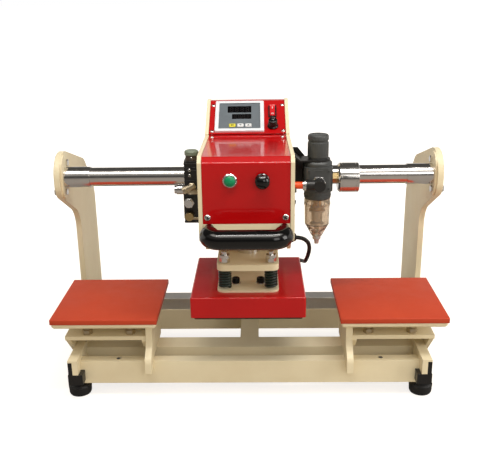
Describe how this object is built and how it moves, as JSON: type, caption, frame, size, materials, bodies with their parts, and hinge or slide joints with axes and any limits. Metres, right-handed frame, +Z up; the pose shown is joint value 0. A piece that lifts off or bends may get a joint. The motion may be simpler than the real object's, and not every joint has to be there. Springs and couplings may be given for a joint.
{
  "type": "pneumatic heat press",
  "caption": "Two station pneumatic heat press: a red head with heated platen slides on a cross shaft between two padded tables, guided by rollers on a rear rail.",
  "frame": {"origin": "on the floor, in the middle of the footprint", "axes": "+X to the operator's right along the cross shaft, +Y away from the operator, +Z up"},
  "size_m": [0.578, 0.417, 0.4043],
  "materials": {
    "cream_paint": "satin",
    "red_paint": "satin",
    "black_paint": "satin",
    "polished_steel": "polished",
    "plated_steel": "plated",
    "aluminium": "satin",
    "silicone": "matte",
    "black_rubber": "matte",
    "black_plastic": "fine texture",
    "charcoal_plastic": "fine texture",
    "green_plastic": "gloss",
    "red_plastic": "gloss",
    "green_paint": "gloss",
    "yellow_plastic": "satin",
    "white_plastic": "satin",
    "orange_plastic": "satin",
    "clear_plastic": "clear",
    "bright_steel": "bright"
  },
  "bodies": {
    "frame": {"side_plate_left": "cream_paint", "side_plate_right": "cream_paint", "cross_shaft": "polished_steel", "stop_sleeves": "polished_steel", "frame_bolts": "bright_steel", "base_arms": "cream_paint", "front_beam": "cream_paint", "middle_beam": "cream_paint", "rear_beam": "cream_paint", "guide_rail": "plated_steel", "inner_supports": "cream_paint", "table_brackets": "cream_paint", "table_plates": "cream_paint", "silicone_pads": "silicone", "foot_brackets": "black_paint", "levelling_feet": "black_rubber"},
    "head": {"head_side_plates": "cream_paint", "head_front_cover": "red_paint", "control_panel": "red_paint", "head_rear_cover": "red_paint", "head_base_plate": "cream_paint", "shaft_bearing": "aluminium", "air_cylinder": "aluminium", "controller_case": "white_plastic", "button_bezels": "bright_steel", "switch_housings": "black_plastic", "pull_handle": "black_rubber", "cover_screws": "bright_steel", "regulator_bracket": "black_paint", "regulator_body": "charcoal_plastic", "regulator_bowl": "clear_plastic", "filter_element": "white_plastic", "gauge_case": "bright_steel", "gauge_lens": "clear_plastic", "tube_fittings": "black_plastic", "air_tube": "orange_plastic", "solenoid_valve": "black_plastic", "guide_arm": "cream_paint", "cable_glands": "black_plastic", "heater_cable": "black_rubber"},
    "platen": {"heating_plate": "aluminium", "platen_cover": "red_paint", "platen_lower_plate": "cream_paint", "guide_bolts": "bright_steel", "plate_springs": "green_paint"},
    "press_plate": {"pressure_plate": "cream_paint", "piston_rod": "polished_steel"},
    "start_button": {"start_button": "green_plastic"},
    "black_button": {"black_button": "black_plastic"},
    "key_set": {"key_set": "yellow_plastic"},
    "key_down": {"key_down": "white_plastic"},
    "key_up": {"key_up": "white_plastic"},
    "panel_rocker": {"panel_rocker": "red_plastic"},
    "rotary_knob": {"rotary_knob": "black_plastic"},
    "power_rocker": {"power_rocker": "black_plastic"},
    "regulator_knob": {"regulator_knob": "charcoal_plastic"},
    "drain_valve": {"drain_valve": "black_plastic"},
    "gauge_needle": {"gauge_needle": "black_paint"},
    "guide_roller_front": {"guide_roller_front": "black_plastic"},
    "guide_roller_rear": {"guide_roller_rear": "black_plastic"}
  },
  "joints": [
    {"name": "head_slide", "type": "slide", "parent": "frame", "child": "head", "axis": [1, 0, 0], "range_m": [-0.2025, 0.2025]},
    {"name": "press_slide", "type": "slide", "parent": "head", "child": "platen", "axis": [0, 0, 1], "range_m": [0, 0.03], "deforming": ["heater_cable"]},
    {"name": "spring_float", "type": "slide", "parent": "platen", "child": "press_plate", "axis": [0, 0, -1], "range_m": [0, 0.004], "stiffness_N_per_m": 32000, "springref_m": -0.006, "deforming": ["plate_springs"]},
    {"name": "start_button_press", "type": "slide", "parent": "head", "child": "start_button", "axis": [0, 1, 0], "range_m": [0, 0.0025], "stiffness_N_per_m": 600, "springref_m": -0.002},
    {"name": "black_button_press", "type": "slide", "parent": "head", "child": "black_button", "axis": [0, 1, 0], "range_m": [0, 0.003], "stiffness_N_per_m": 600, "springref_m": -0.002},
    {"name": "key_set_press", "type": "slide", "parent": "head", "child": "key_set", "axis": [0, 0.4664, -0.8846], "range_m": [0, 0.0008], "stiffness_N_per_m": 400, "springref_m": -0.001},
    {"name": "key_down_press", "type": "slide", "parent": "head", "child": "key_down", "axis": [0, 0.4664, -0.8846], "range_m": [0, 0.0008], "stiffness_N_per_m": 400, "springref_m": -0.001},
    {"name": "key_up_press", "type": "slide", "parent": "head", "child": "key_up", "axis": [0, 0.4664, -0.8846], "range_m": [0, 0.0008], "stiffness_N_per_m": 400, "springref_m": -0.001},
    {"name": "panel_rocker_tilt", "type": "hinge", "parent": "head", "child": "panel_rocker", "pos_m": [0.0372, 0.05139, 0.38988], "axis": [1, 0, 0], "range_deg": [-14, 0]},
    {"name": "knob_turn", "type": "hinge", "parent": "head", "child": "rotary_knob", "pos_m": [0.0372, 0.02115, 0.37326], "axis": [0, -0.4664, 0.8846], "range_deg": [-270, 0]},
    {"name": "power_rocker_tilt", "type": "hinge", "parent": "head", "child": "power_rocker", "pos_m": [0.0629, -0.085, 0.281], "axis": [0, 1, 0], "range_deg": [-7, 0]},
    {"name": "regulator_turn", "type": "hinge", "parent": "head", "child": "regulator_knob", "pos_m": [0.0985, -0.042, 0.35], "axis": [0, 0, 1], "range_deg": [-360, 360]},
    {"name": "drain_turn", "type": "hinge", "parent": "head", "child": "drain_valve", "pos_m": [0.0985, -0.042, 0.22], "axis": [0, 0, 1], "range_deg": [0, 90]},
    {"name": "needle_turn", "type": "hinge", "parent": "head", "child": "gauge_needle", "pos_m": [0.15, -0.042, 0.312], "axis": [1, 0, 0], "range_deg": [-270, 0]},
    {"name": "front_roller_spin", "type": "hinge", "parent": "head", "child": "guide_roller_front", "pos_m": [0, 0.0647, 0.071], "axis": [0, 0, 1], "continuous": true},
    {"name": "rear_roller_spin", "type": "hinge", "parent": "head", "child": "guide_roller_rear", "pos_m": [0, 0.1123, 0.071], "axis": [0, 0, 1], "continuous": true}
  ],
  "couplings": [
    {"joint": "front_roller_spin", "follows": "head_slide", "rad_per_m": 90.909},
    {"joint": "rear_roller_spin", "follows": "head_slide", "rad_per_m": -90.909}
  ]
}
